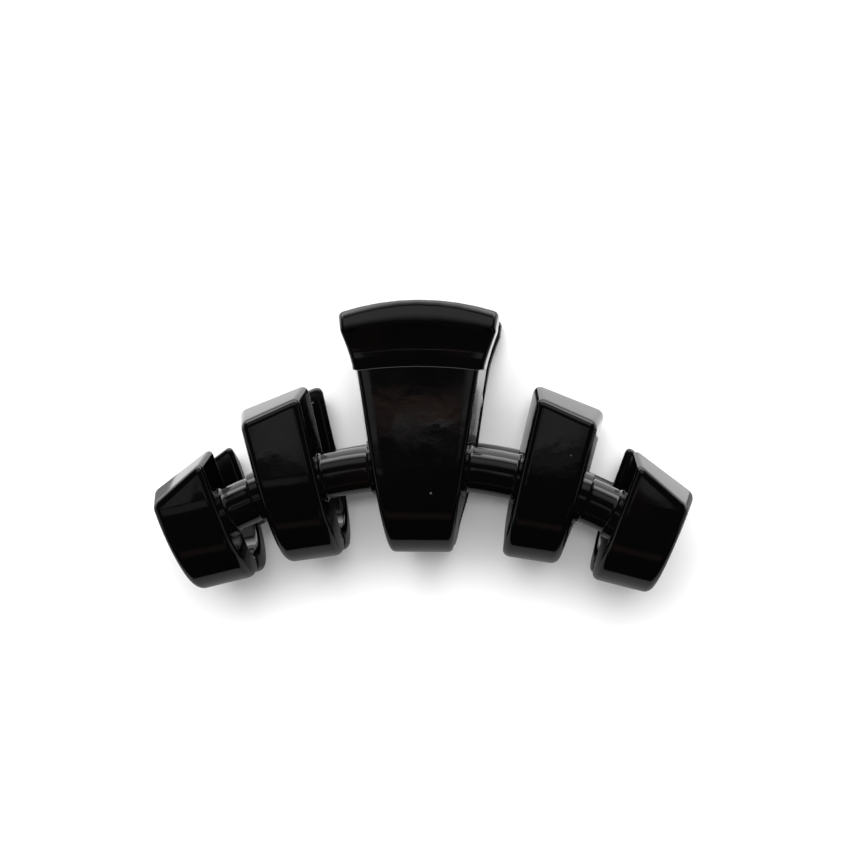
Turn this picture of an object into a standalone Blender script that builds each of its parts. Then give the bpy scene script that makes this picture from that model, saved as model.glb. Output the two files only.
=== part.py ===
"""Claw hair clip: two identical moulded jaws on one hinge pin, held shut by a torsion spring.

The clip lies on its rear jaw. X runs along it, +Y points from the finger tips to the thumb tabs
and +Z from the rear jaw up to the front jaw. The origin is on the floor, under the middle of the clip.

A jaw is designed in a frame of its own, in millimetres: x along the clip, v up from the lowest finger
tip towards the tab, and w outwards from the plane where the two jaws meet.
"""

import math

import bmesh
import bpy
from mathutils import Matrix, Vector

MM = 0.001
GAP = 0.3  # between meshes that would touch on the real clip

# Whole clip
HALF_DEPTH = 18.0  # mid-plane to the outermost face of a jaw
BACK_DEPTH = 8.5  # mid-plane to the inner face of a jaw

# Fingers: (foot x, foot v, lean, slope of the tip, width at the tip, width at the top,
# length of the outer edge, length of the inner edge), in millimetres and degrees
INNER_FINGER = (19.1, 5.7, 13.8, 8.5, 9.9, 10.8, 25.8, 28.8)
OUTER_FINGER = (35.1, 1.2, 20.0, 14.0, 10.4, 10.4, 16.8, 22.0)
SIDE_DRAFT = 1.25  # a finger is this much wider on each side at its back than at its face
TOP_DRAFT = 2.6  # and this much taller
EDGE_CHAMFER = 0.9
BACK_CHAMFER = 0.5
TOP_CHAMFER = 0.7

# Side view of every finger, s along it from the tip
TIP_THICKNESS = 3.0
TIP_REACH = 5.0  # depth at which the underside starts to turn up
TIP_RISE = 0.6  # how much the underside rises towards the mid-plane
TIP_CUT = 0.3  # how much the inner edge of the tip is cut back
LAND_START = 16.0  # from here up the face is flat
INSIDE_START = 1.5  # depth at which the inner face starts to turn up
INSIDE_END = 15.0
CURVE_STEPS = 7

# Centre finger and thumb tab
CENTRE_FOOT = 7.0
CENTRE_TIP_WIDTH = 10.9
CENTRE_TOP_WIDTH = 20.8
CREASE = 32.9  # s of the step between the finger and the tab
CREASE_STEP = 1.7
CREASE_LEAN = 0.2  # how far the step leans towards the tab
CREASE_BACK = 9.6  # depth of the inner face behind the crease
TAB_STEPS = 4
TAB_ACROSS = 4
TAB_DRAFT = 0.4
TAB_DIP = 0.8  # how much the tab's face is hollowed
TAB_FLARE = 1.2  # above 1, the tab's sides curve outwards
TAB_BACK_SHIFT = 0.3  # how much further up a section of the tab has its back than its face
LIP_EDGE = 40.2  # s of the front edge of the lip
LIP_HEIGHT = 4.3
LIP_SLOPE = 1.9  # how far the lip's face falls back over its height
LIP_RIDGE = 1.0  # height of the lip's edge over the tab's face
LIP_FLARE = 0.4  # how much wider the lip is at its top, on each side
LIP_THICKNESS = 1.6
LIP_BACK_CUT = 0.6  # how much lower the lip's top is at its back
TAB_WIDTH = 27.4
TAB_ARC_DROP = 2.2  # the tab's top is an arc, this much lower at its ends

# Bar through all five fingers
BAR_DIAMETER = 8.0
BAR_DEPTH = 12.2
BAR_CREST = 22.6  # v of its middle
BAR_ARC_RADIUS = 75.0
BAR_REACH = 3.9  # how far it runs past the foot of each outer finger
BAR_STEPS = 20

# Hinge
HINGE_V = 34.5
PIN_DIAMETER = 2.0
PIN_HEAD_DIAMETER = 3.4
PIN_HEAD = 0.6
PIN_HEAD_CHAMFER = 0.3
LUG_THICKNESS = 1.9
LUG_RADIUS = 3.1
LUG_FOOT = 8.0  # height of a lug where it leaves the jaw
LUG_ROOT = 2.5  # how deep a lug is set into the jaw
SPRING_SPACE = 11.2  # between the inner lugs

# Torsion spring
WIRE_DIAMETER = 1.2
COIL_DIAMETER = 7.0  # to the middle of the wire
COIL_GAP = 0.28  # between its turns
STEPS_PER_TURN = 14
LEG_END_V = 8.4  # above the hinge


def new_collection(name):
    collection = bpy.data.collections.new(name)
    bpy.context.scene.collection.children.link(collection)
    return collection


def plastic(name, colour, roughness, metallic=0.0):
    material = bpy.data.materials.new(name)
    material.use_nodes = True
    shader = material.node_tree.nodes["Principled BSDF"]
    shader.inputs["Base Color"].default_value = (*colour, 1.0)
    shader.inputs["Roughness"].default_value = roughness
    shader.inputs["Metallic"].default_value = metallic
    return material


def mesh_from_curve(curve, name, collection):
    """A curve object made a closed mesh object, with its caps welded on."""
    bpy.context.view_layer.update()
    graph = bpy.context.evaluated_depsgraph_get()
    mesh = bpy.data.meshes.new_from_object(curve.evaluated_get(graph))
    mesh.transform(curve.matrix_world)
    solid = bmesh.new()
    solid.from_mesh(mesh)
    bmesh.ops.remove_doubles(solid, verts=solid.verts, dist=1e-5)
    bmesh.ops.recalc_face_normals(solid, faces=solid.faces)
    solid.to_mesh(mesh)
    solid.free()
    bpy.data.objects.remove(curve)
    result = bpy.data.objects.new(name, mesh)
    collection.objects.link(result)
    return result


def extruded(name, points, half_thickness, collection):
    """A flat outline in millimetres, extruded both ways along Z."""
    data = bpy.data.curves.new(name, "CURVE")
    data.dimensions = "2D"
    data.fill_mode = "BOTH"
    data.extrude = half_thickness * MM
    data.render_resolution_u = 0
    spline = data.splines.new("POLY")
    spline.points.add(len(points) - 1)
    for point, (a, b) in zip(spline.points, points):
        point.co = (a * MM, b * MM, 0.0, 1.0)
    spline.use_cyclic_u = True
    curve = bpy.data.objects.new(name, data)
    bpy.context.scene.collection.objects.link(curve)
    return mesh_from_curve(curve, name, collection)


def tube(name, points, diameter, resolution, collection):
    """A round tube with closed ends along points in millimetres."""
    data = bpy.data.curves.new(name, "CURVE")
    data.dimensions = "3D"
    data.bevel_depth = diameter / 2 * MM
    data.bevel_resolution = resolution
    data.use_fill_caps = True
    data.render_resolution_u = 0
    spline = data.splines.new("POLY")
    spline.points.add(len(points) - 1)
    for point, place in zip(spline.points, points):
        point.co = (*(Vector(place) * MM), 1.0)
    curve = bpy.data.objects.new(name, data)
    bpy.context.scene.collection.objects.link(curve)
    return mesh_from_curve(curve, name, collection)


def boolean(target, operation, cutter):
    modifier = target.modifiers.new(f"{operation.lower()} {cutter.name}", "BOOLEAN")
    modifier.operation = operation
    modifier.solver = "EXACT"
    modifier.object = cutter
    cutter.hide_render = True
    cutter.display_type = "WIRE"


def apply_modifiers(target):
    bpy.context.view_layer.update()
    graph = bpy.context.evaluated_depsgraph_get()
    mesh = bpy.data.meshes.new_from_object(target.evaluated_get(graph))
    target.modifiers.clear()
    target.data = mesh


def face_depth(s):
    """Depth of a finger's face at s from its tip."""
    if s >= LAND_START:
        return HALF_DEPTH
    turn = math.acos(1.0 - s / LAND_START)
    return TIP_REACH + (HALF_DEPTH - TIP_REACH) * math.sin(turn)


def finger_stations():
    """Front and back points (s, w) of a finger's curled end, up to where its face is straight."""
    inside = TIP_RISE + TIP_THICKNESS
    stations = [((TIP_RISE, GAP / 2), (inside - TIP_CUT, GAP / 2))]
    for step in range(CURVE_STEPS + 1):
        turn = math.radians(90.0) * step / CURVE_STEPS
        front_s = LAND_START * (1.0 - math.cos(turn))
        back_s = inside + (INSIDE_END - inside) * (1.0 - math.cos(turn))
        back_w = INSIDE_START + (BACK_DEPTH - INSIDE_START) * math.sin(turn)
        stations.append(((front_s, face_depth(front_s)), (back_s, back_w)))
    return stations


def section(front, back, half_width, draft, across, slant=0.0, arc=0.0, inset=0.0):
    """One cross-section of a finger: points (x, s, w) round a trapezium with chamfered corners.

    front and back are its middle points (s, w). slant and arc shift its two ends along the finger.
    """
    thickness = math.dist(front, back)
    inward = ((back[0] - front[0]) / thickness, (back[1] - front[1]) / thickness)

    def point(share, half, depth):
        shift = slant * share - arc * share ** 2
        return (share * half, front[0] + inward[0] * depth + shift, front[1] + inward[1] * depth)

    front_half = half_width - inset
    back_half = half_width + draft - inset
    face = [point(2.0 * i / across - 1.0, front_half - EDGE_CHAMFER, inset) for i in range(across + 1)]
    rear = [
        point(1.0 - 2.0 * i / across, back_half - BACK_CHAMFER, thickness - inset)
        for i in range(across + 1)
    ]
    right = [
        point(1.0, front_half, inset + EDGE_CHAMFER),
        point(1.0, back_half, thickness - inset - BACK_CHAMFER),
    ]
    left = [
        point(-1.0, back_half, thickness - inset - BACK_CHAMFER),
        point(-1.0, front_half, inset + EDGE_CHAMFER),
    ]
    return face + right + rear + left


def stand_profile(profile):
    """Turns a profile drawn as (s, w) so that s runs along Y, w along Z and its thickness along X."""
    profile.data.transform(Matrix(((0, 0, 1, 0), (1, 0, 0, 0), (0, 1, 0, 0), (0, 0, 0, 1))))


def loft(name, sections, collection):
    """A closed solid through sections of equal length, in millimetres, with (x, s, w) as X, Y and Z."""
    solid = bmesh.new()
    rings = [[solid.verts.new(Vector(point) * MM) for point in ring] for ring in sections]
    count = len(rings[0])
    for low, high in zip(rings, rings[1:]):
        for i in range(count):
            j = (i + 1) % count
            solid.faces.new((low[i], low[j], high[j], high[i]))
    solid.faces.new(rings[0])
    solid.faces.new(rings[-1])
    bmesh.ops.recalc_face_normals(solid, faces=solid.faces)
    mesh = bpy.data.meshes.new(name)
    solid.to_mesh(mesh)
    solid.free()
    finger = bpy.data.objects.new(name, mesh)
    collection.objects.link(finger)
    return finger


def draft_at(back_w):
    """How much wider a finger is at its back, which fades out towards the tip."""
    return SIDE_DRAFT * min(1.0, max(0.0, back_w / BACK_DEPTH))


def side_finger(name, spec, side, collection):
    """One of the four outer fingers. side is -1 on the left and 1 on the right."""
    foot_x, foot_v, lean, slope, tip_width, top_width, outer_length, inner_length = spec
    length = (outer_length + inner_length) / 2
    slant = (inner_length - outer_length) / 2

    def half_width(s):
        return (tip_width + (top_width - tip_width) * s / length) / 2

    sections = []
    for front, back in finger_stations():
        sections.append(section(front, back, half_width(front[0]), draft_at(back[1]), 1))
    sections[0] = section(*finger_stations()[0], half_width(0.0), 0.0, 1)
    front = (length, face_depth(length))
    back = (length + TOP_DRAFT, BACK_DEPTH)
    under = ((front[0] - TOP_CHAMFER, front[1]), (back[0] - TOP_CHAMFER, back[1]))
    sections.append(section(*under, half_width(length), SIDE_DRAFT, 1, slant=slant))
    sections.append(section(front, back, half_width(length), SIDE_DRAFT, 1, slant=slant, inset=TOP_CHAMFER))
    finger = loft(name, sections, collection)
    along = (math.cos(math.radians(slope)), math.sin(math.radians(slope)))
    up = (-math.sin(math.radians(lean)), math.cos(math.radians(lean)))
    place = Matrix((
        (-side * along[0], -side * up[0], 0.0, side * foot_x * MM),
        (along[1], up[1], 0.0, foot_v * MM),
        (0.0, 0.0, 1.0, 0.0),
        (0.0, 0.0, 0.0, 1.0),
    ))
    finger.data.transform(place)
    if side > 0:
        finger.data.flip_normals()
    return finger


def tab_back(s):
    """Depth of the tab's inner face at s from the centre finger's tip."""
    rise = HALF_DEPTH - LIP_SLOPE - LIP_THICKNESS - CREASE_BACK
    return CREASE_BACK + rise * (s - CREASE) / (LIP_EDGE + LIP_HEIGHT - CREASE)


def centre_finger(collection):
    """The middle finger, which runs on past a crease into the flared thumb tab."""
    sections = []

    def half_width(s):
        return (CENTRE_TIP_WIDTH + (CENTRE_TOP_WIDTH - CENTRE_TIP_WIDTH) * s / CREASE) / 2

    for front, back in finger_stations():
        sections.append(section(front, back, half_width(front[0]), draft_at(back[1]), TAB_ACROSS))
    hinge_s = HINGE_V - CENTRE_FOOT
    for front_s, back_w in ((hinge_s, BACK_DEPTH), (CREASE, CREASE_BACK)):
        front = (front_s, face_depth(front_s))
        sections.append(section(front, (front_s, back_w), half_width(front_s), SIDE_DRAFT, TAB_ACROSS))
    crease_w = HALF_DEPTH - CREASE_STEP
    lip_top = LIP_EDGE + LIP_HEIGHT
    tab_half = CENTRE_TOP_WIDTH / 2 + SIDE_DRAFT - TAB_DRAFT
    lip_half = TAB_WIDTH / 2 - LIP_FLARE

    def tab_section(front, back_s, half, arc):
        return section(front, (back_s, tab_back(back_s)), half, TAB_DRAFT, TAB_ACROSS, arc=arc)

    for step in range(TAB_STEPS + 1):
        share = step / TAB_STEPS
        s = CREASE + CREASE_LEAN + (LIP_EDGE - LIP_RIDGE / 2 - CREASE) * share
        rise = (HALF_DEPTH - LIP_RIDGE - crease_w) * share ** 2
        front = (s, crease_w + rise - TAB_DIP * math.sin(math.pi * share))
        half = tab_half + (lip_half - tab_half) * share ** TAB_FLARE
        sections.append(tab_section(front, s + TAB_BACK_SHIFT, half, TAB_ARC_DROP * share / 2))
    front = (LIP_EDGE, HALF_DEPTH)
    sections.append(tab_section(front, LIP_EDGE + TAB_BACK_SHIFT, lip_half, TAB_ARC_DROP / 2))
    front = (lip_top, HALF_DEPTH - LIP_SLOPE)
    sections.append(tab_section(front, lip_top - LIP_BACK_CUT, TAB_WIDTH / 2, TAB_ARC_DROP))
    finger = loft("centre_finger", sections, collection)
    finger.data.transform(Matrix.Translation((0.0, CENTRE_FOOT * MM, 0.0)))
    return finger


def bar(collection):
    half_span = OUTER_FINGER[0] + BAR_REACH
    points = []
    for step in range(BAR_STEPS + 1):
        x = half_span * (2.0 * step / BAR_STEPS - 1.0)
        drop = BAR_ARC_RADIUS - math.sqrt(BAR_ARC_RADIUS ** 2 - x ** 2)
        points.append((x, BAR_CREST - drop, BAR_DEPTH))
    return tube("bar", points, BAR_DIAMETER, 6, collection)


def lug(name, inner_face, side, collection):
    """A hinge lug: a plate round the pin, with its foot in the back of the centre finger."""
    foot = BACK_DEPTH + LUG_ROOT
    points = [(HINGE_V + LUG_FOOT / 2, foot)]
    for step in range(9):
        turn = math.radians(22.5) * step
        points.append((HINGE_V + LUG_RADIUS * math.cos(turn), -LUG_RADIUS * math.sin(turn)))
    points.append((HINGE_V - LUG_FOOT / 2, foot))
    plate = extruded(name, points, LUG_THICKNESS / 2, collection)
    stand_profile(plate)
    middle = side * (inner_face + LUG_THICKNESS / 2)
    plate.data.transform(Matrix.Translation((middle * MM, 0.0, 0.0)))
    return plate


def pin_hole(collection):
    bpy.ops.mesh.primitive_cylinder_add(
        vertices=24,
        radius=(PIN_DIAMETER / 2 + GAP) * MM,
        depth=TAB_WIDTH * MM,
        location=(0.0, HINGE_V * MM, 0.0),
        rotation=(0.0, math.radians(90.0), 0.0),
    )
    hole = bpy.context.object
    hole.name = "pin_hole"
    for home in list(hole.users_collection):
        home.objects.unlink(hole)
    collection.objects.link(hole)
    return hole


def jaw_mesh(parts, cutters):
    """One moulding: five fingers and a thumb tab on a bar, with two hinge lugs behind the centre finger."""
    jaw = bar(parts)
    boolean(jaw, "UNION", centre_finger(cutters))
    for side, side_name in ((-1, "left"), (1, "right")):
        boolean(jaw, "UNION", side_finger(f"{side_name}_inner_finger", INNER_FINGER, side, cutters))
        boolean(jaw, "UNION", side_finger(f"{side_name}_outer_finger", OUTER_FINGER, side, cutters))
    inner_face = SPRING_SPACE / 2
    boolean(jaw, "UNION", lug("inner_lug", inner_face, 1, cutters))
    boolean(jaw, "UNION", lug("outer_lug", inner_face + LUG_THICKNESS + GAP, -1, cutters))
    boolean(jaw, "DIFFERENCE", pin_hole(cutters))
    apply_modifiers(jaw)
    return jaw


def hinge_place(jaw):
    """Where the hinge axis lies when the clip is centred over the origin."""
    heights = [vertex.co.y for vertex in jaw.data.vertices]
    middle = (min(heights) + max(heights)) / 2
    return Vector((0.0, HINGE_V * MM - middle, HALF_DEPTH * MM))


def hinge_pin(collection):
    """A turned pin with a head at each end, the second one riveted over."""
    half = SPRING_SPACE / 2 + 2 * LUG_THICKNESS + 2 * GAP
    profile = [
        (0.0, half + PIN_HEAD),
        (PIN_HEAD_DIAMETER / 2 - PIN_HEAD_CHAMFER, half + PIN_HEAD),
        (PIN_HEAD_DIAMETER / 2, half + PIN_HEAD - PIN_HEAD_CHAMFER),
        (PIN_HEAD_DIAMETER / 2, half),
        (PIN_DIAMETER / 2, half),
        (PIN_DIAMETER / 2, -half),
        (PIN_HEAD_DIAMETER / 2, -half),
        (PIN_HEAD_DIAMETER / 2, -half - PIN_HEAD + PIN_HEAD_CHAMFER),
        (PIN_HEAD_DIAMETER / 2 - PIN_HEAD_CHAMFER, -half - PIN_HEAD),
        (0.0, -half - PIN_HEAD),
    ]
    mesh = bpy.data.meshes.new("hinge_pin")
    edges = [(i, i + 1) for i in range(len(profile) - 1)]
    mesh.from_pydata([(r * MM, 0.0, z * MM) for r, z in profile], edges, [])
    pin = bpy.data.objects.new("hinge_pin", mesh)
    collection.objects.link(pin)
    screw = pin.modifiers.new("turn", "SCREW")
    screw.steps = 20
    screw.render_steps = 20
    screw.use_merge_vertices = True
    screw.merge_threshold = 1e-5
    pin.rotation_euler = (0.0, math.radians(90.0), 0.0)
    return pin


def torsion_spring(collection):
    """A coil round the pin, with one leg against the inside of each tab."""
    half = SPRING_SPACE / 2 - GAP - WIRE_DIAMETER / 2
    radius = COIL_DIAMETER / 2
    leg_end_s = HINGE_V + LEG_END_V - CENTRE_FOOT
    tab_lean = math.atan(tab_back(leg_end_s + 1.0) - tab_back(leg_end_s))
    leg_end_w = tab_back(leg_end_s) - (WIRE_DIAMETER / 2 + GAP) / math.cos(tab_lean)
    leave = math.atan2(leg_end_w, LEG_END_V) + math.acos(radius / math.hypot(LEG_END_V, leg_end_w))
    turns = math.floor(2.0 * half / (WIRE_DIAMETER + COIL_GAP) + leave / math.pi)
    wound = 2.0 * math.pi * turns - 2.0 * leave
    steps = round(wound / (2.0 * math.pi) * STEPS_PER_TURN)
    points = [(-half, LEG_END_V, -leg_end_w)]
    for step in range(steps + 1):
        share = step / steps
        turn = -leave - wound * share
        points.append((half * (2.0 * share - 1.0), radius * math.cos(turn), radius * math.sin(turn)))
    points.append((half, LEG_END_V, leg_end_w))
    return tube("torsion_spring", points, WIRE_DIAMETER, 2, collection)


def build():
    for old in list(bpy.data.objects):
        bpy.data.objects.remove(old)
    parts = new_collection("claw_hair_clip")
    cutters = new_collection("cutters")
    black = plastic("black_plastic", (0.004, 0.004, 0.0045), 0.08)
    pin_steel = plastic("pin_steel", (0.55, 0.55, 0.56), 0.25, 1.0)
    spring_steel = plastic("spring_steel", (0.42, 0.42, 0.43), 0.32, 1.0)

    front = jaw_mesh(parts, cutters)
    front.name = "front_jaw"
    hinge = hinge_place(front)
    front.data.transform(Matrix.Translation((0.0, -HINGE_V * MM, 0.0)))
    rear = bpy.data.objects.new("rear_jaw", front.data.copy())
    parts.objects.link(rear)
    rear.data.transform(Matrix.Rotation(math.radians(180.0), 4, "Y"))
    pin = hinge_pin(parts)
    spring = torsion_spring(parts)

    front.data.materials.clear()
    rear.data.materials.clear()
    front.data.materials.append(black)
    rear.data.materials.append(black.copy())
    pin.data.materials.append(pin_steel)
    spring.data.materials.append(spring_steel)
    for piece in (front, rear, pin, spring):
        piece.location = hinge
        piece.data.shade_smooth()
        piece.data.set_sharp_from_angle(angle=math.radians(30.0))


build()
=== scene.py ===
import math

import bpy
from mathutils import Matrix, Vector


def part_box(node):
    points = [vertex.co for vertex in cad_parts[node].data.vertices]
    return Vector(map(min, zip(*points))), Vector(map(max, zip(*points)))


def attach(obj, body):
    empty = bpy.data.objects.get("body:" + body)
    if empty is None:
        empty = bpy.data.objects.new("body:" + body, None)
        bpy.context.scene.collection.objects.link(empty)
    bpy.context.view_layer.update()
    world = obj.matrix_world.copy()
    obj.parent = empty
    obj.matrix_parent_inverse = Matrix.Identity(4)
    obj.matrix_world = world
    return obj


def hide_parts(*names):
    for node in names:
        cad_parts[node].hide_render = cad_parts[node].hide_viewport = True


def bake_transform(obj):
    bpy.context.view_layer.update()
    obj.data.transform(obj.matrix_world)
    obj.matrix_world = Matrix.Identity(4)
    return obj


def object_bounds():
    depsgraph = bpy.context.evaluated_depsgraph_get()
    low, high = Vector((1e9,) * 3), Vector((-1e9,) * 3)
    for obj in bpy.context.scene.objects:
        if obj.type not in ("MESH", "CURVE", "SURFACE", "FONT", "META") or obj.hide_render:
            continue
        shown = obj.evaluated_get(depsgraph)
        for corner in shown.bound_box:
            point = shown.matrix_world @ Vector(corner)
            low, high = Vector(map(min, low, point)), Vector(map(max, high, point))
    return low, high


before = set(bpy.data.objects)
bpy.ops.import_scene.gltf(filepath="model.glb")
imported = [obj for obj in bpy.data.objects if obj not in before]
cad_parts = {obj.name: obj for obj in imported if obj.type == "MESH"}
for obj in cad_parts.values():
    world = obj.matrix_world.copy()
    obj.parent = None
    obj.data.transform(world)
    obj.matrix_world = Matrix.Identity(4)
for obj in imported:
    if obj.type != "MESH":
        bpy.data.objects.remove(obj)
cad_low, cad_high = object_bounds()
bpy.ops.object.select_all(action="DESELECT")

# ---------------------------------------------------------------------------
# Camera: the clip lies on its rear jaw on a white table, and is seen from almost
# straight above, a little from its right, as small goods are shown in a catalogue.
# ---------------------------------------------------------------------------
scene = bpy.context.scene
MM = 0.001
CAMERA_PLACE = Vector((18.5, 8.35, 301.0)) * MM
CAMERA_AIM = Vector((0.125, 3.725, 18.0)) * MM
CAMERA_LENS = 66.07
CAMERA_SENSOR = 36.0
CAMERA_NEAREST = 0.01

camera_data = bpy.data.cameras.new("camera")
camera_data.lens = CAMERA_LENS
camera_data.sensor_width = CAMERA_SENSOR
camera_data.clip_start = CAMERA_NEAREST
camera = bpy.data.objects.new("camera", camera_data)
scene.collection.objects.link(camera)
ahead = (CAMERA_AIM - CAMERA_PLACE).normalized()
rightwards = ahead.cross(Vector((0.0, 1.0, 0.0))).normalized()
upwards = rightwards.cross(ahead)
camera_turn = Matrix((rightwards, upwards, -ahead)).transposed().to_4x4()
camera.matrix_world = Matrix.Translation(CAMERA_PLACE) @ camera_turn
scene.camera = camera
scene.view_settings.view_transform = "Standard"
scene.view_settings.look = "None"

# ---------------------------------------------------------------------------
# Table: a round matt white board that the clip lies on. Two painted copies of its white
# are only there for the plastic to mirror, as painted reflection: a lit one behind, a darker one in
# front as painted shade.
# ---------------------------------------------------------------------------
TABLE_RADIUS = 0.6
TABLE_SIDES = 96
TABLE_SHADE = 0.9
TABLE_ROUGHNESS = 0.9
SHEET_WIDTH = 0.9
SHEET_LIFT = 0.00001

bpy.ops.mesh.primitive_circle_add(
    vertices=TABLE_SIDES, radius=TABLE_RADIUS, fill_type="NGON", location=(0.0, 0.0, cad_low[2])
)
table = bpy.context.object
table.name = "table"
table_white = bpy.data.materials.new("table_white")
table_white.use_nodes = True
table_shader = table_white.node_tree.nodes["Principled BSDF"]
table_shader.inputs["Base Color"].default_value = (TABLE_SHADE, TABLE_SHADE, TABLE_SHADE, 1.0)
table_shader.inputs["Roughness"].default_value = TABLE_ROUGHNESS
table_shader.inputs["Specular IOR Level"].default_value = 0.0
table.data.materials.append(table_white)
table.visible_glossy = False


def mirrored_sheet(name, front, back, shade):
    """A sheet of painted reflection that the plastic mirrors, from y = front to y = back, in a painted
    shade of the table's white.
    """
    bpy.ops.mesh.primitive_plane_add(size=1.0)
    sheet = bpy.context.object
    sheet.name = name
    sheet.scale = (SHEET_WIDTH, back - front, 1.0)
    sheet.location = (0.0, (back + front) / 2, cad_low[2] + SHEET_LIFT)
    sheet.visible_camera = False
    sheet.visible_diffuse = False
    sheet.visible_shadow = False
    painted_table_copy = table_white.copy()
    painted_table_copy.name = name
    painted_table_shader = painted_table_copy.node_tree.nodes["Principled BSDF"]
    painted_table_shader.inputs["Base Color"].default_value = (shade, shade, shade, 1.0)
    sheet.data.materials.append(painted_table_copy)


# Painted reflection: the lit sheet stands in for the lit table behind, and the shaded sheet's dark grey
# is painted shade for the clip's shadow in front.
mirrored_sheet("lit_sheet", front=0.0, back=0.5, shade=0.95)
mirrored_sheet("shaded_sheet", front=-0.12, back=0.0, shade=0.24)

# ---------------------------------------------------------------------------
# Light: one wide softbox overhead and a white room. A window behind the clip and dim
# panels on the ceiling and walls only show as soft reflections in the plastic.
# ---------------------------------------------------------------------------
LAMP_PLACE = Vector((0.0, 0.2, 0.62))
LAMP_WIDTH = 0.4
LAMP_DEPTH = 0.3
LAMP_POWER = 5.0
ROOM_SHADE = 0.52
ROOM_SHADE_IN_GLOSS = 0.004
ROOM_SHADE_IN_VIEW = 1.0
WHITE = (1.0, 1.0, 1.0)
WARM = (1.0, 0.62, 0.48)
CEILING = 0.6

lamp_data = bpy.data.lights.new("overhead_softbox", "AREA")
lamp_data.shape = "RECTANGLE"
lamp_data.size = LAMP_WIDTH
lamp_data.size_y = LAMP_DEPTH
lamp_data.energy = LAMP_POWER
lamp = bpy.data.objects.new("overhead_softbox", lamp_data)
scene.collection.objects.link(lamp)
lamp.location = LAMP_PLACE
lamp.rotation_euler = (-LAMP_PLACE).to_track_quat("-Z", "Y").to_euler()
lamp.visible_glossy = False

room = bpy.data.worlds.new("room")
scene.world = room
room.use_nodes = True
room_nodes = room.node_tree.nodes
room_links = room.node_tree.links
rays = room_nodes.new("ShaderNodeLightPath")
in_gloss = room_nodes.new("ShaderNodeMix")
in_gloss.data_type = "RGBA"
in_gloss.inputs[6].default_value = (ROOM_SHADE, ROOM_SHADE, ROOM_SHADE, 1.0)
in_gloss.inputs[7].default_value = (ROOM_SHADE_IN_GLOSS, ROOM_SHADE_IN_GLOSS, ROOM_SHADE_IN_GLOSS, 1.0)
room_links.new(rays.outputs["Is Glossy Ray"], in_gloss.inputs[0])
in_view = room_nodes.new("ShaderNodeMix")
in_view.data_type = "RGBA"
in_view.inputs[7].default_value = (ROOM_SHADE_IN_VIEW, ROOM_SHADE_IN_VIEW, ROOM_SHADE_IN_VIEW, 1.0)
room_links.new(rays.outputs["Is Camera Ray"], in_view.inputs[0])
room_links.new(in_gloss.outputs[2], in_view.inputs[6])
room_links.new(in_view.outputs[2], room_nodes["Background"].inputs["Color"])


def reflection_panel(name, middle, size, colour, strength, fades):
    """A glowing card that fades out at its sides, low edge and high edge, by shares of its size.

    On the ceiling it is level, and elsewhere it faces the clip.
    """
    side_fade, low_fade, high_fade = fades
    bpy.ops.mesh.primitive_plane_add(size=1.0)
    panel = bpy.context.object
    panel.name = name
    panel.scale = (size[0], size[1], 1.0)
    panel.location = middle
    if middle[2] < CEILING:
        panel.rotation_euler = (-Vector(middle)).to_track_quat("Z", "Y").to_euler()
    glow = bpy.data.materials.new(name)
    glow.use_nodes = True
    nodes = glow.node_tree.nodes
    links = glow.node_tree.links
    nodes.remove(nodes["Principled BSDF"])
    place = nodes.new("ShaderNodeTexCoord")
    split = nodes.new("ShaderNodeSeparateXYZ")
    links.new(place.outputs["Object"], split.inputs["Vector"])
    power = None
    for axis, edge, fade in (
        ("X", -0.5, side_fade), ("X", 0.5, -side_fade), ("Y", -0.5, low_fade), ("Y", 0.5, -high_fade)
    ):
        ramp = nodes.new("ShaderNodeMapRange")
        ramp.interpolation_type = "SMOOTHSTEP"
        ramp.inputs["From Min"].default_value = edge
        ramp.inputs["From Max"].default_value = edge + fade
        links.new(split.outputs[axis], ramp.inputs["Value"])
        product = nodes.new("ShaderNodeMath")
        product.operation = "MULTIPLY"
        product.inputs[1].default_value = strength
        links.new(ramp.outputs["Result"], product.inputs[0])
        if power is not None:
            links.new(power.outputs["Value"], product.inputs[1])
        power = product
    shine = nodes.new("ShaderNodeEmission")
    shine.inputs["Color"].default_value = (*colour, 1.0)
    links.new(power.outputs["Value"], shine.inputs["Strength"])
    links.new(shine.outputs["Emission"], nodes["Material Output"].inputs["Surface"])
    panel.data.materials.append(glow)
    panel.visible_camera = False
    panel.visible_diffuse = False
    panel.visible_shadow = False


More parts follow.
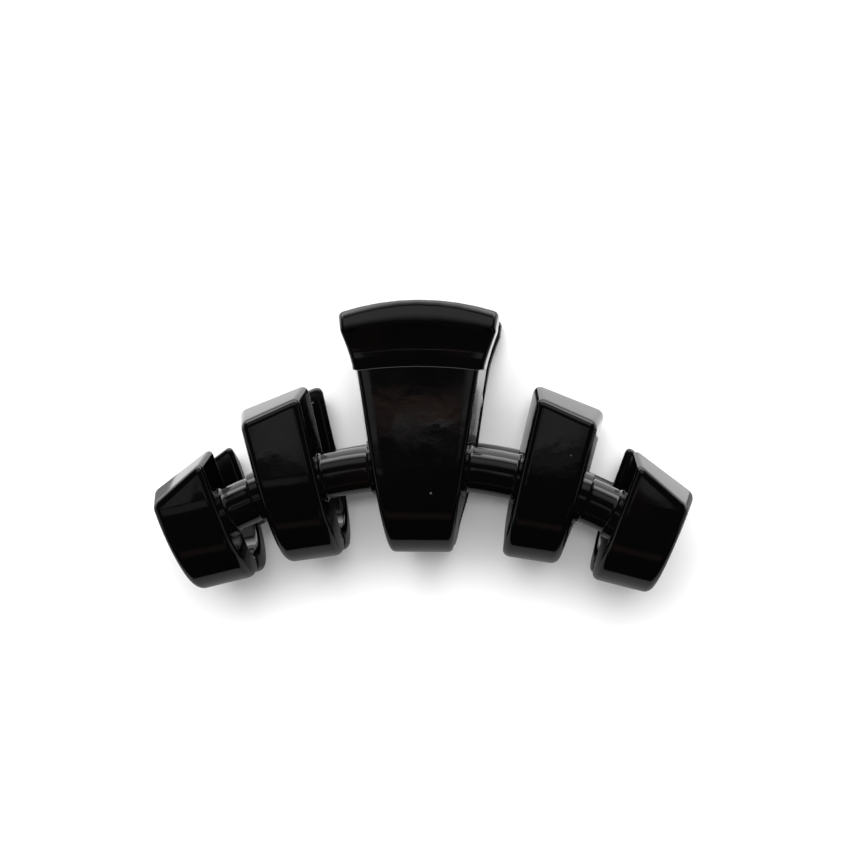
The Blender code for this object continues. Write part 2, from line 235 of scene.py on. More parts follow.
for name, middle, size, colour, strength, fades in (
    ("window_panel", (0.0, 0.56, 0.13), (1.3, 0.34), WHITE, 5.0, (0.1, 0.02, 0.8)),
    ("back_wall_panel", (0.0, 0.5, 0.42), (1.0, 0.5), WHITE, 0.6, (0.2, 0.3, 0.4)),
    ("outer_left_ceiling_panel", (-0.195, 0.02, CEILING), (0.08, 0.142), WHITE, 0.26, (0.1, 0.07, 0.2)),
    ("inner_left_ceiling_panel", (-0.115, 0.04, CEILING), (0.078, 0.14), WHITE, 0.36, (0.1, 0.07, 0.2)),
    ("inner_right_ceiling_panel", (0.034, 0.05, CEILING), (0.07, 0.136), WHITE, 0.34, (0.1, 0.04, 0.2)),
    ("right_streak_panel", (0.034, -0.0245, CEILING), (0.07, 0.007), WHITE, 0.3, (0.2, 0.4, 0.4)),
    ("outer_right_ceiling_panel", (0.095, 0.03, CEILING), (0.05, 0.13), WHITE, 0.3, (0.1, 0.1, 0.2)),
    ("left_front_panel", (-0.16, -0.1, CEILING), (0.2, 0.09), WHITE, 0.2, (0.2, 0.3, 0.3)),
    ("middle_ceiling_panel", (-0.04, 0.003, CEILING), (0.085, 0.017), WARM, 0.3, (0.05, 0.15, 0.4)),
    ("middle_streak_panel", (-0.032, -0.0065, CEILING), (0.05, 0.004), WHITE, 1.0, (0.2, 0.3, 0.3)),
    ("left_wall_panel", (-0.2, -0.5, 0.34), (0.6, 0.16), WARM, 0.1, (0.1, 0.5, 0.5)),
    ("right_wall_panel", (0.3, -0.5, 0.46), (0.36, 0.16), WARM, 0.14, (0.1, 0.5, 0.5)),
    ("left_side_panel", (-0.6, 0.0, 0.12), (0.9, 0.3), WHITE, 0.45, (0.2, 0.1, 0.6)),
    ("right_side_panel", (0.6, 0.0, 0.12), (0.9, 0.3), WHITE, 0.3, (0.2, 0.1, 0.6)),
):
    reflection_panel(name, middle, size, colour, strength, fades)

# ---------------------------------------------------------------------------
# Side fingers: four of a jaw's five curled fingers, moulded in glossy black plastic, with
# a flat face, rounded edges and drafted sides. In millimetres: x runs along the clip,
# s up a finger, w out from the mid-plane, and v up from the clip's lowest finger tip.
# ---------------------------------------------------------------------------
HALF_DEPTH = 18.0
BACK_DEPTH = 8.5
SEAM_GAP = 0.3
TIP_THICKNESS = 3.0
TIP_REACH = 5.0
TIP_RISE = 0.6
TIP_CUT = 0.3
FACE_START = 16.0
INSIDE_START = 1.5
INSIDE_END = 15.0
SIDE_DRAFT = 1.25
TOP_DRAFT = 2.6
CURL_STEPS = 22
EDGE_ROUND = 1.3
EDGE_SEGMENTS = 4
SHARP_ANGLE = math.radians(50.0)
HINGE_V = 34.5

pin_low, pin_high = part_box("hinge_pin")
hinge = (Vector(pin_low) + Vector(pin_high)) / 2
jaw_foot = Vector((0.0, hinge.y - HINGE_V * MM, hinge.z))


def curl():
    """Front and back points (s, w) of a finger, from its tip to where its face becomes flat."""
    inside = TIP_RISE + TIP_THICKNESS
    points = [((TIP_RISE, SEAM_GAP / 2), (inside - TIP_CUT, SEAM_GAP / 2))]
    for step in range(CURL_STEPS + 1):
        turn = math.radians(90.0) * step / CURL_STEPS
        front = (
            FACE_START * (1.0 - math.cos(turn)),
            TIP_REACH + (HALF_DEPTH - TIP_REACH) * math.sin(turn),
        )
        back = (
            inside + (INSIDE_END - inside) * (1.0 - math.cos(turn)),
            INSIDE_START + (BACK_DEPTH - INSIDE_START) * math.sin(turn),
        )
        points.append((front, back))
    return points


def draw_out(name, columns, stations):
    """A solid drawn out of a flat strip. A station is (front point, back point, half the width)."""
    bpy.ops.mesh.primitive_grid_add(x_subdivisions=columns, y_subdivisions=1, size=2.0 * MM)
    solid = bpy.context.object
    solid.name = name
    bpy.ops.object.mode_set(mode="EDIT")
    half, depth, angle = 1.0, 2.0, 0.0
    middle = Vector((0.0, 0.0, 0.0))
    for number, (front, back, new_half) in enumerate(stations):
        new_depth = math.dist(front, back)
        new_angle = math.atan2(back[1] - front[1], back[0] - front[0])
        new_middle = Vector((0.0, front[0] + back[0], front[1] + back[1])) * (MM / 2)
        if number:
            bpy.ops.mesh.extrude_region_move()
        bpy.ops.transform.rotate(value=angle, orient_axis="X", center_override=middle)
        bpy.ops.transform.resize(
            value=(new_half / half, new_depth / depth, 1.0), center_override=middle
        )
        bpy.ops.transform.rotate(value=-new_angle, orient_axis="X", center_override=middle)
        bpy.ops.transform.translate(value=new_middle - middle)
        half, depth, angle, middle = new_half, new_depth, new_angle, new_middle
    bpy.ops.object.mode_set(mode="OBJECT")
    return solid


def shape_sections(solid, columns, stations, drafts, slants, arcs):
    """Widens each section's back by its draft, then slants and arches it along the finger."""
    row = columns + 1
    for vertex in solid.data.vertices:
        number, place = divmod(vertex.index, 2 * row)
        half = stations[number][2] * MM
        share = vertex.co.x / half
        if place >= row:
            vertex.co.x += share * drafts[number] * MM
        vertex.co.y += (slants[number] * share - arcs[number] * share ** 2) * MM


def face_outwards(solid):
    """Turns every face of a closed solid outwards."""
    bpy.ops.object.select_all(action="DESELECT")
    solid.select_set(True)
    bpy.context.view_layer.objects.active = solid
    bpy.ops.object.mode_set(mode="EDIT")
    bpy.ops.mesh.select_all(action="SELECT")
    bpy.ops.mesh.normals_make_consistent(inside=False)
    bpy.ops.object.mode_set(mode="OBJECT")


def finish_with(solid, kind, **settings):
    """Adds one modifier with these settings and applies it."""
    bpy.ops.object.select_all(action="DESELECT")
    solid.select_set(True)
    bpy.context.view_layer.objects.active = solid
    modifier = solid.modifiers.new(kind.lower(), kind)
    for setting, value in settings.items():
        setattr(modifier, setting, value)
    bpy.ops.object.modifier_apply(modifier=modifier.name)


def round_edges(solid, width, segments=EDGE_SEGMENTS):
    """Rounds every sharp edge to this width."""
    finish_with(
        solid, "BEVEL", width=width * MM, segments=segments, limit_method="ANGLE",
        angle_limit=SHARP_ANGLE, harden_normals=False,
    )


def copy_of(solid, name):
    """A copy with its own mesh."""
    twin = solid.copy()
    twin.data = solid.data.copy()
    twin.name = name
    scene.collection.objects.link(twin)
    return twin


def draft_at(back_w):
    """How much wider a finger is at its back, which fades out towards the tip."""
    return SIDE_DRAFT * min(1.0, max(0.0, back_w / BACK_DEPTH))


def side_finger(
    name, foot_x, foot_v, lean, slope, tip_width, top_width, outer_length, inner_length
):
    """A finger right of the middle, leaning outwards, with a slanted top facet."""
    length = (outer_length + inner_length) / 2
    stations = []
    for front, back in curl():
        half = (tip_width + (top_width - tip_width) * front[0] / length) / 2
        stations.append((front, back, half))
    stations.append(((length, HALF_DEPTH), (length + TOP_DRAFT, BACK_DEPTH), top_width / 2))
    count = len(stations)
    drafts = [0.0] + [draft_at(back[1]) for front, back, half in stations[1:]]
    slants = [0.0] * (count - 1) + [(outer_length - inner_length) / 2]
    solid = draw_out(name, 1, stations)
    shape_sections(solid, 1, stations, drafts, slants, [0.0] * count)
    face_outwards(solid)
    round_edges(solid, EDGE_ROUND)
    across = Vector((math.cos(math.radians(slope)), -math.sin(math.radians(slope)), 0.0))
    up = Vector((math.sin(math.radians(lean)), math.cos(math.radians(lean)), 0.0))
    turn = Matrix((across, up, (0.0, 0.0, 1.0))).transposed().to_4x4()
    foot = jaw_foot + Vector((foot_x, foot_v, 0.0)) * MM
    solid.data.transform(Matrix.Translation(foot) @ turn)
    face_outwards(solid)
    return solid


def mirrored(solid, name):
    """The same moulded shape on the other side of the middle."""
    twin = copy_of(solid, name)
    twin.data.transform(Matrix.Scale(-1.0, 4, (1.0, 0.0, 0.0)))
    face_outwards(twin)
    return twin


inner_right = side_finger(
    "inner_finger_right", foot_x=19.1, foot_v=5.7, lean=13.8, slope=8.5,
    tip_width=9.9, top_width=10.8, outer_length=25.8, inner_length=28.8,
)
outer_right = side_finger(
    "outer_finger_right", foot_x=35.1, foot_v=1.2, lean=20.0, slope=14.0,
    tip_width=10.4, top_width=10.4, outer_length=16.8, inner_length=22.0,
)
inner_left = mirrored(inner_right, "inner_finger_left")
outer_left = mirrored(outer_right, "outer_finger_left")

# ---------------------------------------------------------------------------
# Centre finger and thumb tab: the widest finger runs up to a crease, where its face
# steps down into a hollowed tab that flares to an arched lip. Same moulding.
# ---------------------------------------------------------------------------
CENTRE_FOOT = 7.0
CENTRE_TIP_WIDTH = 10.9
CENTRE_TOP_WIDTH = 20.8
CREASE = 32.9
CREASE_LEAN = 0.1
CREASE_STEP = 1.7
CREASE_ARC = 0.7
CREASE_BACK = 9.6
TAB_COLUMNS = 8
TAB_STEPS = 10
TAB_DRAFT = 0.4
TAB_DIP = 0.45
TAB_FLARE = 1.2
TAB_BACK_SHIFT = 0.3
LIP_EDGE = 40.2
LIP_EDGE_RUN = 0.5
LIP_RIDGE = 1.0
LIP_HEIGHT = 4.3
LIP_SLOPE = 1.9
LIP_BULGE = 0.35
LIP_STEPS = 3
LIP_THICKNESS = 2.0
LIP_FLARE = 0.4
LIP_BACK_CUT = 0.9
TAB_WIDTH = 27.4
TAB_ARC_DROP = 2.2
CENTRE_ROUND = 1.0
SIDE_WEIGHT = 1.0
LIP_TOP_WEIGHT = 0.8
RIDGE_WEIGHT = 0.25


def centre_half(s):
    """Half the centre finger's width at s."""
    return (CENTRE_TIP_WIDTH + (CENTRE_TOP_WIDTH - CENTRE_TIP_WIDTH) * s / CREASE) / 2


def centre_sections():
    """Sections of the centre finger and its tab: (front point, back point, half, draft, arc)."""
    sections = []
    for front, back in curl():
        sections.append((front, back, centre_half(front[0]), draft_at(back[1]), 0.0))
    sections[0] = (*sections[0][:3], 0.0, 0.0)
    hinge_s = HINGE_V - CENTRE_FOOT
    hinge_half = centre_half(hinge_s)
    sections.append(((hinge_s, HALF_DEPTH), (hinge_s, BACK_DEPTH), hinge_half, SIDE_DRAFT, 0.0))
    crease_half = CENTRE_TOP_WIDTH / 2
    sections.append(((CREASE, HALF_DEPTH), (CREASE, CREASE_BACK), crease_half, SIDE_DRAFT, CREASE_ARC))
    crease_w = HALF_DEPTH - CREASE_STEP
    lip_top = LIP_EDGE + LIP_HEIGHT
    back_rise = HALF_DEPTH - LIP_SLOPE - LIP_THICKNESS - CREASE_BACK
    tab_half = crease_half + SIDE_DRAFT - TAB_DRAFT
    lip_half = TAB_WIDTH / 2 - LIP_FLARE

    def back_at(s):
        """Point of the tab's inner face at s."""
        return s, CREASE_BACK + back_rise * (s - CREASE) / (lip_top - CREASE)

    for step in range(TAB_STEPS + 1):
        share = step / TAB_STEPS
        s = CREASE + CREASE_LEAN + (LIP_EDGE - LIP_EDGE_RUN - CREASE) * share
        hollow = TAB_DIP * math.sin(math.pi * share)
        w = crease_w - hollow + (HALF_DEPTH - LIP_RIDGE - crease_w) * share ** 2
        half = tab_half + (lip_half - tab_half) * share ** TAB_FLARE
        arc = CREASE_ARC + (TAB_ARC_DROP / 2 - CREASE_ARC) * share
        sections.append(((s, w), back_at(s + TAB_BACK_SHIFT), half, TAB_DRAFT, arc))
    for step in range(LIP_STEPS + 1):
        share = step / LIP_STEPS
        s = LIP_EDGE + LIP_HEIGHT * share
        w = HALF_DEPTH - LIP_SLOPE * share + LIP_BULGE * math.sin(math.pi * share)
        back_s = LIP_EDGE + TAB_BACK_SHIFT + (LIP_HEIGHT - LIP_BACK_CUT) * share
        arc = TAB_ARC_DROP * (1.0 + share) / 2
        sections.append(((s, w), back_at(back_s), lip_half + LIP_FLARE * share, TAB_DRAFT, arc))
    return sections


sections = centre_sections()
stations = [section[:3] for section in sections]
centre_finger = draw_out("centre_finger", TAB_COLUMNS, stations)
shape_sections(
    centre_finger, TAB_COLUMNS, stations, [section[3] for section in sections],
    [0.0] * len(sections), [section[4] for section in sections],
)
face_outwards(centre_finger)
# Each section is a front row of points and then a back row, from side to side.
row = TAB_COLUMNS + 1
top_section = len(sections) - 1
ridge_sections = (len(curl()) + 1, top_section - LIP_STEPS)
weights = centre_finger.data.attributes.new("bevel_weight_edge", "FLOAT", "EDGE")
for edge in centre_finger.data.edges:
    ends = [divmod(index, row) for index in edge.vertices]
    crossed = {row_number // 2 for row_number, column in ends}
    at_side = all(column in (0, TAB_COLUMNS) for row_number, column in ends)
    at_front = all(row_number % 2 == 0 for row_number, column in ends)
    if at_side and (len(crossed) == 2 or crossed == {top_section}):
        weights.data[edge.index].value = SIDE_WEIGHT
    elif not at_side and crossed == {top_section}:
        weights.data[edge.index].value = LIP_TOP_WEIGHT
    elif not at_side and at_front and len(crossed) == 1 and crossed.pop() in ridge_sections:
        weights.data[edge.index].value = RIDGE_WEIGHT
finish_with(
    centre_finger, "BEVEL", width=CENTRE_ROUND * MM, segments=EDGE_SEGMENTS,
    limit_method="WEIGHT", harden_normals=False,
)
centre_foot = jaw_foot + Vector((0.0, CENTRE_FOOT * MM, 0.0))
centre_finger.data.transform(Matrix.Translation(centre_foot))
face_outwards(centre_finger)

# ---------------------------------------------------------------------------
# Bar: one round arched bar joins the five fingers. Between two fingers it swells at
# both ends into a small moulded fillet against their sides.
# ---------------------------------------------------------------------------
BAR_RADIUS = 4.0
BAR_DEPTH = 12.2
BAR_CREST = 22.6
BAR_ARC_RADIUS = 75.0
BAR_FILLET = 0.6
BAR_INSIDE = 1.6
BAR_SIDES = 48
FILLET_STEPS = 5
BAR_STEPS = 8


def bar_between(name, wall_from, wall_to):
    """The bar from one finger's side to the next one's, at these distances x from the middle."""
    fillet = []
    for step in range(FILLET_STEPS + 1):
        turn = math.radians(90.0) * step / FILLET_STEPS
        fillet.append((BAR_FILLET * (1.0 - math.cos(turn)), BAR_FILLET * (1.0 - math.sin(turn))))
    rings = [(wall_from - BAR_INSIDE, BAR_FILLET)]
    rings += [(wall_from + reach, swell) for reach, swell in fillet]
    bare_from = wall_from + BAR_FILLET
    bare_to = wall_to - BAR_FILLET
    for step in range(1, BAR_STEPS):
        rings.append((bare_from + (bare_to - bare_from) * step / BAR_STEPS, 0.0))
    rings += [(wall_to - reach, swell) for reach, swell in reversed(fillet)]
    rings.append((wall_to + BAR_INSIDE, BAR_FILLET))

    bpy.ops.mesh.primitive_circle_add(
        vertices=BAR_SIDES, radius=BAR_RADIUS * MM, fill_type="NGON",
        rotation=(0.0, math.radians(90.0), 0.0),
    )
    rod = bpy.context.object
    rod.name = name
    bpy.ops.object.transform_apply(location=False, rotation=True, scale=False)
    bpy.ops.object.mode_set(mode="EDIT")
    place, lean, high, deep = Vector((0.0, 0.0, 0.0)), 0.0, 1.0, 1.0
    for number, (x, swell) in enumerate(rings):
        drop = BAR_ARC_RADIUS - math.sqrt(BAR_ARC_RADIUS ** 2 - x ** 2)
        new_place = jaw_foot + Vector((x, BAR_CREST - drop, BAR_DEPTH)) * MM
        new_lean = -math.asin(x / BAR_ARC_RADIUS)
        new_high = 1.0 + swell / BAR_RADIUS
        new_deep = 1.0 + swell / (2.0 * BAR_RADIUS)
        if number:
            bpy.ops.mesh.extrude_region_move()
        bpy.ops.transform.rotate(value=lean, orient_axis="Z", center_override=place)
        back = place - Vector((0.0, 0.0, BAR_RADIUS * MM))
        bpy.ops.transform.resize(value=(1.0, new_high / high, 1.0), center_override=place)
        bpy.ops.transform.resize(value=(1.0, 1.0, new_deep / deep), center_override=back)
        bpy.ops.transform.rotate(value=-new_lean, orient_axis="Z", center_override=place)
        bpy.ops.transform.translate(value=new_place - place)
        place, lean, high, deep = new_place, new_lean, new_high, new_deep
    bpy.ops.object.mode_set(mode="OBJECT")
    face_outwards(rod)
    return rod


inner_bar_right = bar_between("inner_bar_right", wall_from=8.4, wall_to=16.9)
outer_bar_right = bar_between("outer_bar_right", wall_from=28.5, wall_to=33.4)
inner_bar_left = mirrored(inner_bar_right, "inner_bar_left")
outer_bar_left = mirrored(outer_bar_right, "outer_bar_left")

# ---------------------------------------------------------------------------
# Hinge lugs: two flat ears behind the centre finger, round-ended about the pin.
# The second one sits further out, so that the other jaw's lugs fit beside them.
# ---------------------------------------------------------------------------
SPRING_SPACE = 11.2
LUG_THICKNESS = 1.9
LUG_RADIUS = 3.1
LUG_FOOT = 8.0
LUG_ROOT = 2.5
LUG_ROUND = 0.3
LUG_ROUND_SEGMENTS = 2
LUG_SIDES = 64


def hinge_lug(name, middle_x):
    """A round-ended ear at this x, drawn out from the hinge axis into the back of the finger."""
    bpy.ops.mesh.primitive_cylinder_add(
        vertices=LUG_SIDES, radius=LUG_RADIUS * MM, depth=LUG_THICKNESS * MM,
        location=hinge + Vector((middle_x * MM, 0.0, 0.0)), rotation=(0.0, math.radians(90.0), 0.0),
    )
    lug = bpy.context.object
    lug.name = name
    bpy.ops.object.transform_apply(location=True, rotation=True, scale=True)
    bpy.ops.object.mode_set(mode="EDIT")
    bpy.ops.mesh.bisect(plane_co=hinge, plane_no=(0.0, 0.0, 1.0), clear_outer=True, use_fill=True)
    bpy.ops.mesh.extrude_region_move()
    bpy.ops.transform.translate(value=(0.0, 0.0, (BACK_DEPTH + LUG_ROOT) * MM))
    bpy.ops.transform.resize(
        value=(1.0, LUG_FOOT / (2.0 * LUG_RADIUS), 1.0), center_override=hinge
    )
    bpy.ops.object.mode_set(mode="OBJECT")
    face_outwards(lug)
    round_edges(lug, LUG_ROUND, LUG_ROUND_SEGMENTS)
    return lug


inner_lug_x = (SPRING_SPACE + LUG_THICKNESS) / 2
inner_lug = hinge_lug("inner_lug", inner_lug_x)
outer_lug = hinge_lug("outer_lug", -inner_lug_x - LUG_THICKNESS - SEAM_GAP)

# ---------------------------------------------------------------------------
# Jaws: fingers, bars and lugs are one injection moulding of black plastic, bored
# for the pin. The rear jaw is a second, identical one, turned half round.
# ---------------------------------------------------------------------------
PIN_RADIUS = 1.0
BORE_SIDES = 48
SMOOTH_ANGLE = math.radians(35.0)
NORMAL_WEIGHT = 50
PLASTIC_IOR = 1.5
DEEP_BLACK = (0.0011, 0.0011, 0.0013, 1.0)
WARM_REFLECTION_BROWN = (0.0021, 0.0014, 0.0012, 1.0)
WARM_REFLECTION_SCALE = 55.0
DUST_GREY = (0.09, 0.088, 0.085, 1.0)
DUST_SCALE = 420.0
DUST_SIZE = (0.05, 0.09)
DUST_CHANCE = (0.93, 0.935)
GLOSS_SCALE = 180.0
GLOSS_ROUGHNESS = (0.055, 0.12)
FLOW_SCALE = 140.0
FLOW_DEPTH = 0.00004
PIT_SCALE = 1500.0
PIT_DEPTH = 0.0000025

bpy.ops.mesh.primitive_cylinder_add(
    vertices=BORE_SIDES, radius=(PIN_RADIUS + SEAM_GAP) * MM, depth=TAB_WIDTH * MM,
    location=hinge, rotation=(0.0, math.radians(90.0), 0.0),
)
bore = bpy.context.object
front_jaw = centre_finger
front_jaw.name = "front_jaw_moulding"
for part in (
    inner_bar_right, inner_bar_left, inner_right, inner_left,
    outer_bar_right, outer_bar_left, outer_right, outer_left, inner_lug, outer_lug,
):
    finish_with(front_jaw, "BOOLEAN", operation="UNION", solver="EXACT", object=part)
    bpy.data.objects.remove(part)
finish_with(front_jaw, "BOOLEAN", operation="DIFFERENCE", solver="EXACT", object=bore)
bpy.data.objects.remove(bore)
bpy.ops.object.shade_smooth_by_angle(angle=SMOOTH_ANGLE)


def black_plastic():
    """Piano-black moulded plastic: slight flow waviness, faint warm patches of painted reflection and a
    few dust specks.
    """
    plastic = bpy.data.materials.new("black_plastic")
    plastic.use_nodes = True
    nodes = plastic.node_tree.nodes
    links = plastic.node_tree.links
    shader = nodes["Principled BSDF"]
    shader.inputs["IOR"].default_value = PLASTIC_IOR
    shader.inputs["Coat Weight"].default_value = 0.0
    place = nodes.new("ShaderNodeTexCoord")

    def noise(scale, detail, distortion=0.0):
        pattern = nodes.new("ShaderNodeTexNoise")
        pattern.inputs["Scale"].default_value = scale
        pattern.inputs["Detail"].default_value = detail
        pattern.inputs["Distortion"].default_value = distortion
        links.new(place.outputs["Object"], pattern.inputs["Vector"])
        return pattern

    def remap(source, span_from, span_to=(0.0, 1.0)):
        span = nodes.new("ShaderNodeMapRange")
        span.inputs["From Min"].default_value = span_from[0]
        span.inputs["From Max"].default_value = span_from[1]
        span.inputs["To Min"].default_value = span_to[0]
        span.inputs["To Max"].default_value = span_to[1]
        links.new(source, span.inputs["Value"])
        return span.outputs["Result"]

    def relief(height, depth):
        bump = nodes.new("ShaderNodeBump")
        bump.inputs["Strength"].default_value = 1.0
        bump.inputs["Distance"].default_value = depth
        links.new(height, bump.inputs["Height"])
        return bump

    # Painted reflection: faint warm brown patches in the black colour stand in for warm things mirrored
    # in the plastic.
    warm_reflections = noise(WARM_REFLECTION_SCALE, detail=3.0, distortion=0.6)
    tint = nodes.new("ShaderNodeMix")
    tint.data_type = "RGBA"
    tint.inputs[6].default_value = DEEP_BLACK
    tint.inputs[7].default_value = WARM_REFLECTION_BROWN
    links.new(remap(warm_reflections.outputs["Fac"], (0.5, 0.72)), tint.inputs[0])

    grains = nodes.new("ShaderNodeTexVoronoi")
    grains.inputs["Scale"].default_value = DUST_SCALE
    grains.inputs["Randomness"].default_value = 1.0
    links.new(place.outputs["Object"], grains.inputs["Vector"])
    grain_size = remap(grains.outputs["Distance"], DUST_SIZE, (1.0, 0.0))
    chance = nodes.new("ShaderNodeSeparateColor")
    links.new(grains.outputs["Color"], chance.inputs["Color"])
    few = remap(chance.outputs["Red"], DUST_CHANCE)
    specks = nodes.new("ShaderNodeMath")
    specks.operation = "MULTIPLY"
    links.new(grain_size, specks.inputs[0])
    links.new(few, specks.inputs[1])
    dusted = nodes.new("ShaderNodeMix")
    dusted.data_type = "RGBA"
    dusted.inputs[7].default_value = DUST_GREY
    links.new(specks.outputs["Value"], dusted.inputs[0])
    links.new(tint.outputs[2], dusted.inputs[6])
    links.new(dusted.outputs[2], shader.inputs["Base Color"])

    gloss = noise(GLOSS_SCALE, detail=4.0)
    roughness = remap(gloss.outputs["Fac"], (0.35, 0.75), GLOSS_ROUGHNESS)
    links.new(roughness, shader.inputs["Roughness"])

    flow = noise(FLOW_SCALE, detail=2.0, distortion=0.3)
    flow_bump = relief(flow.outputs["Fac"], FLOW_DEPTH)
    pits = noise(PIT_SCALE, detail=2.0)
    pit_bump = relief(pits.outputs["Fac"], PIT_DEPTH)
    links.new(flow_bump.outputs["Normal"], pit_bump.inputs["Normal"])
    links.new(pit_bump.outputs["Normal"], shader.inputs["Normal"])
    return plastic


plastic = black_plastic()
front_jaw.data.materials.clear()
front_jaw.data.materials.append(plastic)
finish_with(front_jaw, "WEIGHTED_NORMAL", keep_sharp=True, weight=NORMAL_WEIGHT)
rear_jaw = copy_of(front_jaw, "rear_jaw_moulding")
half_turn = Matrix.Rotation(math.radians(180.0), 4, "Y")
rear_jaw.data.transform(Matrix.Translation(hinge) @ half_turn @ Matrix.Translation(-hinge))
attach(front_jaw, "front_jaw")
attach(rear_jaw, "rear_jaw")
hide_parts("front_jaw")
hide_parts("rear_jaw")

# ---------------------------------------------------------------------------
# Hinge pin: a turned steel rivet through all four lugs. One end has a domed head,
# and the other is hammered over into the same shape.
# ---------------------------------------------------------------------------
PIN_HEAD_RADIUS = 1.7
PIN_HEAD_HEIGHT = 0.6
PIN_HEAD_STEPS = 6
PIN_HEAD_RIM = 0.35
PIN_SIDES = 40
PIN_SMOOTH_ANGLE = math.radians(40.0)
DIE_LINE_SCALE = 900.0
DIE_LINE_DEPTH = 0.00001
DIE_LINE_STRENGTH = 0.5
DULL_PATCH_SCALE = 260.0
DULL_PATCH_SHADE = 0.72


def steel(name, colour, roughness, streak_scale):
    """Drawn steel: fine lines along X from the die, and patches of dulled surface."""
    metal = bpy.data.materials.new(name)
    metal.use_nodes = True
    nodes = metal.node_tree.nodes
    links = metal.node_tree.links
    shader = nodes["Principled BSDF"]
    shader.inputs["Metallic"].default_value = 1.0
    place = nodes.new("ShaderNodeTexCoord")
    stretch = nodes.new("ShaderNodeMapping")
    stretch.inputs["Scale"].default_value = streak_scale
    links.new(place.outputs["Object"], stretch.inputs["Vector"])
    lines = nodes.new("ShaderNodeTexNoise")
    lines.inputs["Scale"].default_value = DIE_LINE_SCALE
    lines.inputs["Detail"].default_value = 3.0
    links.new(stretch.outputs["Vector"], lines.inputs["Vector"])
    patches = nodes.new("ShaderNodeTexNoise")
    patches.inputs["Scale"].default_value = DULL_PATCH_SCALE
    links.new(place.outputs["Object"], patches.inputs["Vector"])
    shade = nodes.new("ShaderNodeMix")
    shade.data_type = "RGBA"
    shade.inputs[6].default_value = (*(DULL_PATCH_SHADE * channel for channel in colour), 1.0)
    shade.inputs[7].default_value = (*colour, 1.0)
    links.new(patches.outputs["Fac"], shade.inputs[0])
    links.new(shade.outputs[2], shader.inputs["Base Color"])
    dull = nodes.new("ShaderNodeMapRange")
    dull.inputs["To Min"].default_value = roughness - 0.08
    dull.inputs["To Max"].default_value = roughness + 0.12
    links.new(lines.outputs["Fac"], dull.inputs["Value"])
    links.new(dull.outputs["Result"], shader.inputs["Roughness"])
    grooves = nodes.new("ShaderNodeBump")
    grooves.inputs["Strength"].default_value = DIE_LINE_STRENGTH
    grooves.inputs["Distance"].default_value = DIE_LINE_DEPTH
    links.new(lines.outputs["Fac"], grooves.inputs["Height"])
    links.new(grooves.outputs["Normal"], shader.inputs["Normal"])
    return metal


shaft_end = SPRING_SPACE / 2 + 2.0 * (LUG_THICKNESS + SEAM_GAP)
rings = []
for step in range(1, PIN_HEAD_STEPS + 1):
    turn = math.radians(90.0) * step / PIN_HEAD_STEPS
    height = PIN_HEAD_HEIGHT * (PIN_HEAD_RIM + (1.0 - PIN_HEAD_RIM) * math.cos(turn))
    rings.append((PIN_HEAD_RADIUS * math.sin(turn), shaft_end + height))
rings += [(PIN_HEAD_RADIUS, shaft_end), (PIN_RADIUS, shaft_end)]
rings += [(radius, -x) for radius, x in reversed(rings)]
bpy.ops.mesh.primitive_circle_add(
    vertices=PIN_SIDES, radius=rings[0][0] * MM, fill_type="NGON",
    location=hinge + Vector((rings[0][1] * MM, 0.0, 0.0)),
    rotation=(0.0, math.radians(90.0), 0.0),
)
pin = bpy.context.object
pin.name = "hinge_rivet"
bpy.ops.object.transform_apply(location=True, rotation=True, scale=True)
bpy.ops.object.mode_set(mode="EDIT")
for (old_radius, old_x), (radius, x) in zip(rings, rings[1:]):
    bpy.ops.mesh.extrude_region_move()
    bpy.ops.transform.translate(value=((x - old_x) * MM, 0.0, 0.0))
    growth = radius / old_radius
    bpy.ops.transform.resize(value=(1.0, growth, growth), center_override=hinge)
bpy.ops.object.mode_set(mode="OBJECT")
face_outwards(pin)
bpy.ops.object.shade_smooth_by_angle(angle=PIN_SMOOTH_ANGLE)
pin.data.materials.append(
    steel("pin_steel", colour=(0.62, 0.61, 0.59), roughness=0.24, streak_scale=(1.0, 1.0, 1.0))
)
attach(pin, "rear_jaw")
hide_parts("hinge_pin")

# ---------------------------------------------------------------------------
# Closing spring: round steel wire wound about the pin, with one straight leg
# against the inside of each thumb tab.
WIRE_RADIUS = 0.6
COIL_RADIUS = 3.5
COIL_GAP = 0.28
LEG_HEIGHT = 8.4
COIL_STEPS_PER_TURN = 36
LEG_STEPS = 6
WIRE_ROUNDNESS = 5
MERGE_DISTANCE = 0.000001
SPRING_SMOOTH_ANGLE = math.radians(50.0)

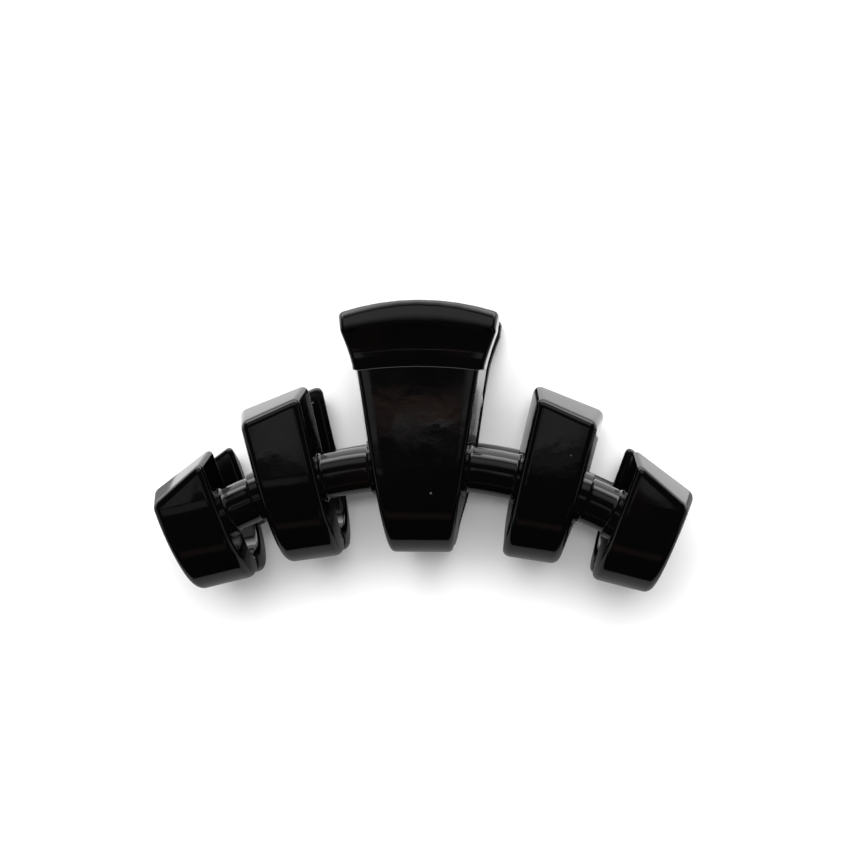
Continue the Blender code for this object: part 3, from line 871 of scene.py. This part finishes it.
coil_half = SPRING_SPACE / 2 - SEAM_GAP - WIRE_RADIUS
lip_top = LIP_EDGE + LIP_HEIGHT
tab_rise = (HALF_DEPTH - LIP_SLOPE - LIP_THICKNESS - CREASE_BACK) / (lip_top - CREASE)
leg_s = HINGE_V + LEG_HEIGHT - CENTRE_FOOT
leg_w = CREASE_BACK + tab_rise * (leg_s - CREASE)
leg_w -= (WIRE_RADIUS + SEAM_GAP) / math.cos(math.atan(tab_rise))
leave = math.atan2(leg_w, LEG_HEIGHT) + math.acos(COIL_RADIUS / math.hypot(LEG_HEIGHT, leg_w))
turns = math.floor(2.0 * coil_half / (2.0 * WIRE_RADIUS + COIL_GAP) + leave / math.pi)
wound = 2.0 * math.pi * turns - 2.0 * leave
coil_steps = round(wound / (2.0 * math.pi) * COIL_STEPS_PER_TURN)
coil = []
for step in range(coil_steps + 1):
    share = step / coil_steps
    turn = -leave - wound * share
    coil.append(Vector((
        coil_half * (2.0 * share - 1.0), COIL_RADIUS * math.cos(turn), COIL_RADIUS * math.sin(turn)
    )))
left_end = Vector((-coil_half, LEG_HEIGHT, -leg_w))
right_end = Vector((coil_half, LEG_HEIGHT, leg_w))
left_leg = [left_end.lerp(coil[0], step / LEG_STEPS) for step in range(LEG_STEPS)]
right_leg = [coil[-1].lerp(right_end, (step + 1) / LEG_STEPS) for step in range(LEG_STEPS)]
wire_path = left_leg + coil + right_leg

wire_data = bpy.data.curves.new("closing_spring", "CURVE")
wire_data.dimensions = "3D"
wire_data.bevel_depth = WIRE_RADIUS * MM
wire_data.bevel_resolution = WIRE_ROUNDNESS
wire_data.use_fill_caps = True
wire_line = wire_data.splines.new("POLY")
wire_line.points.add(len(wire_path) - 1)
for point, place in zip(wire_line.points, wire_path):
    point.co = (*(hinge + place * MM), 1.0)
spring = bpy.data.objects.new("closing_spring", wire_data)
scene.collection.objects.link(spring)
bpy.ops.object.select_all(action="DESELECT")
spring.select_set(True)
bpy.context.view_layer.objects.active = spring
bpy.ops.object.convert(target="MESH")
spring = bpy.context.object
bpy.ops.object.mode_set(mode="EDIT")
bpy.ops.mesh.select_all(action="SELECT")
bpy.ops.mesh.remove_doubles(threshold=MERGE_DISTANCE)
bpy.ops.object.mode_set(mode="OBJECT")
face_outwards(spring)
bpy.ops.object.shade_smooth_by_angle(angle=SPRING_SMOOTH_ANGLE)
spring.data.materials.clear()
spring.data.materials.append(
    steel("spring_steel", colour=(0.5, 0.5, 0.51), roughness=0.3, streak_scale=(1.0, 0.4, 0.4))
)
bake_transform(spring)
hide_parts("torsion_spring")
